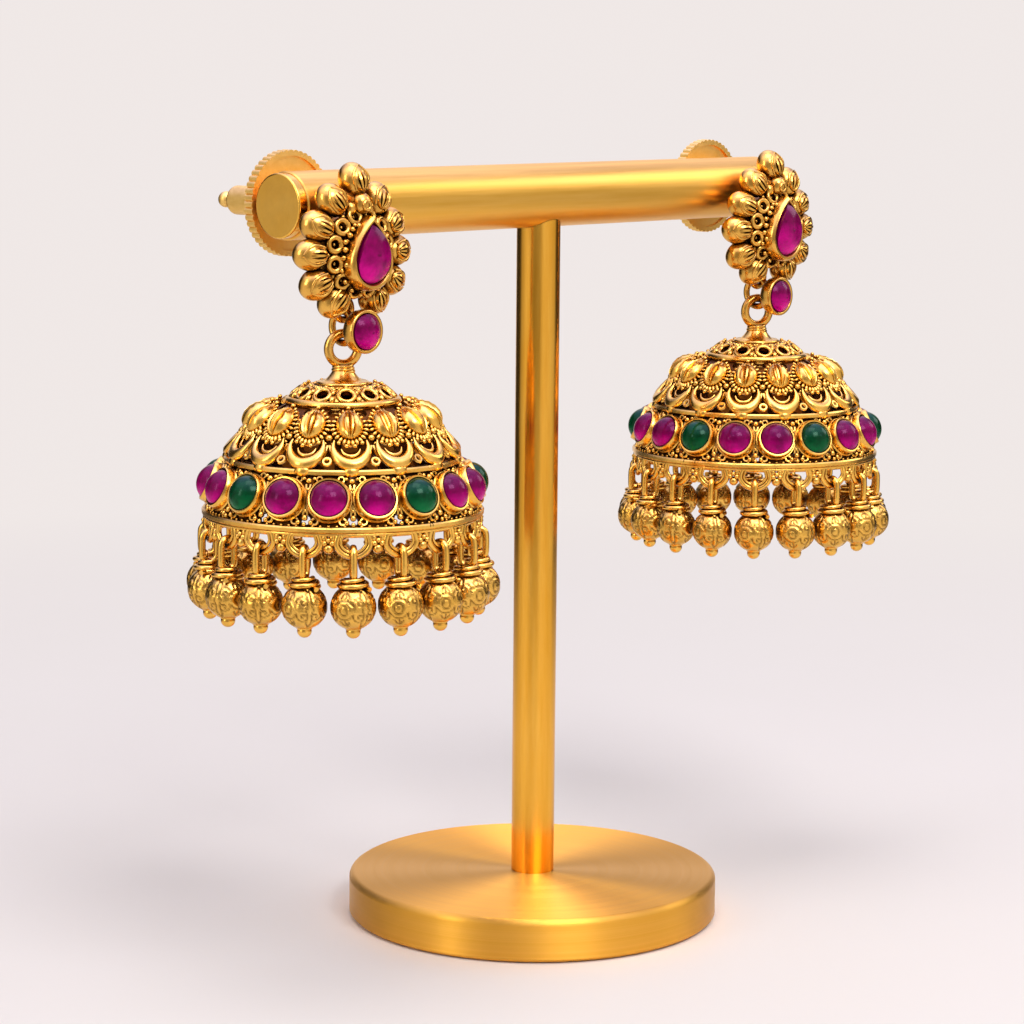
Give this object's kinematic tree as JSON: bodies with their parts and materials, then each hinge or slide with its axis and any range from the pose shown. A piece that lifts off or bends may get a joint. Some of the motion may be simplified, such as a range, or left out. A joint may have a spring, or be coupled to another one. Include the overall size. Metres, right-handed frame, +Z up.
{
  "type": "pair of jhumka earrings on a T-bar display stand",
  "caption": "Pair of gold bell-shaped drop earrings with red and green cabochons and bead fringes, hanging from flower studs on a plain T-bar stand",
  "frame": {"origin": "centre of the stand's underside, on the surface that it stands on", "axes": "+Z up, +X along the bar, and the studs' flowers face -Y"},
  "size_m": [0.1108, 0.0464, 0.0964],
  "materials": {
    "stand_gold": "satin, brushed in fine lines",
    "cap_gold": "polished",
    "antique_gold": "polished on the high points, dark in the recesses",
    "link_gold": "polished",
    "drop_gold": "finely engraved, satin",
    "screw_gold": "polished with a knurled edge",
    "ruby": "polished cabochon with cloudy inclusions",
    "emerald": "polished cabochon with cloudy inclusions"
  },
  "bodies": {
    "stand": {"stand_base": "stand_gold", "stand_post": "stand_gold", "stand_bar": "stand_gold", "left_end_cap": "cap_gold", "left_stud": "antique_gold", "left_pear_stone": "ruby", "left_screw_back": "screw_gold", "right_end_cap": "cap_gold", "right_stud": "antique_gold", "right_pear_stone": "ruby", "right_screw_back": "screw_gold"},
    "left_link": {"left_link": "link_gold", "left_link_stone": "ruby"},
    "left_bell": {"left_bell": "antique_gold", "left_band_stone_01": "ruby", "left_band_stone_02": "emerald", "left_band_stone_03": "ruby", "left_band_stone_04": "ruby", "left_band_stone_05": "emerald", "left_band_stone_06": "ruby", "left_band_stone_07": "ruby", "left_band_stone_08": "emerald", "left_band_stone_09": "ruby", "left_band_stone_10": "ruby", "left_band_stone_11": "emerald", "left_band_stone_12": "ruby", "left_band_stone_13": "emerald", "left_band_stone_14": "ruby", "left_band_stone_15": "ruby", "left_band_stone_16": "emerald", "left_band_stone_17": "ruby", "left_band_stone_18": "ruby", "left_drop_beads": "drop_gold", "left_drop_pins": "antique_gold"},
    "right_link": {"right_link": "link_gold", "right_link_stone": "ruby"},
    "right_bell": {"right_bell": "antique_gold", "right_band_stone_01": "ruby", "right_band_stone_02": "ruby", "right_band_stone_03": "emerald", "right_band_stone_04": "ruby", "right_band_stone_05": "ruby", "right_band_stone_06": "emerald", "right_band_stone_07": "ruby", "right_band_stone_08": "ruby", "right_band_stone_09": "emerald", "right_band_stone_10": "ruby", "right_band_stone_11": "ruby", "right_band_stone_12": "emerald", "right_band_stone_13": "ruby", "right_band_stone_14": "ruby", "right_band_stone_15": "emerald", "right_band_stone_16": "ruby", "right_band_stone_17": "ruby", "right_band_stone_18": "emerald", "right_drop_beads": "drop_gold", "right_drop_pins": "antique_gold"}
  },
  "joints": [
    {"name": "left_link_swing", "type": "hinge", "parent": "stand", "child": "left_link", "pos_m": [-0.0375, -0.0046, 0.0775], "axis": [1, 0, 0], "range_deg": [-18, 22]},
    {"name": "left_bell_swing", "type": "hinge", "parent": "left_link", "child": "left_bell", "pos_m": [-0.0375, -0.0046, 0.07486], "axis": [0, 1, 0], "range_deg": [-20, 20]},
    {"name": "right_link_swing", "type": "hinge", "parent": "stand", "child": "right_link", "pos_m": [0.0375, -0.0046, 0.0775], "axis": [1, 0, 0], "range_deg": [-18, 22]},
    {"name": "right_bell_swing", "type": "hinge", "parent": "right_link", "child": "right_bell", "pos_m": [0.0375, -0.0046, 0.07486], "axis": [0, 1, 0], "range_deg": [-20, 20]}
  ]
}
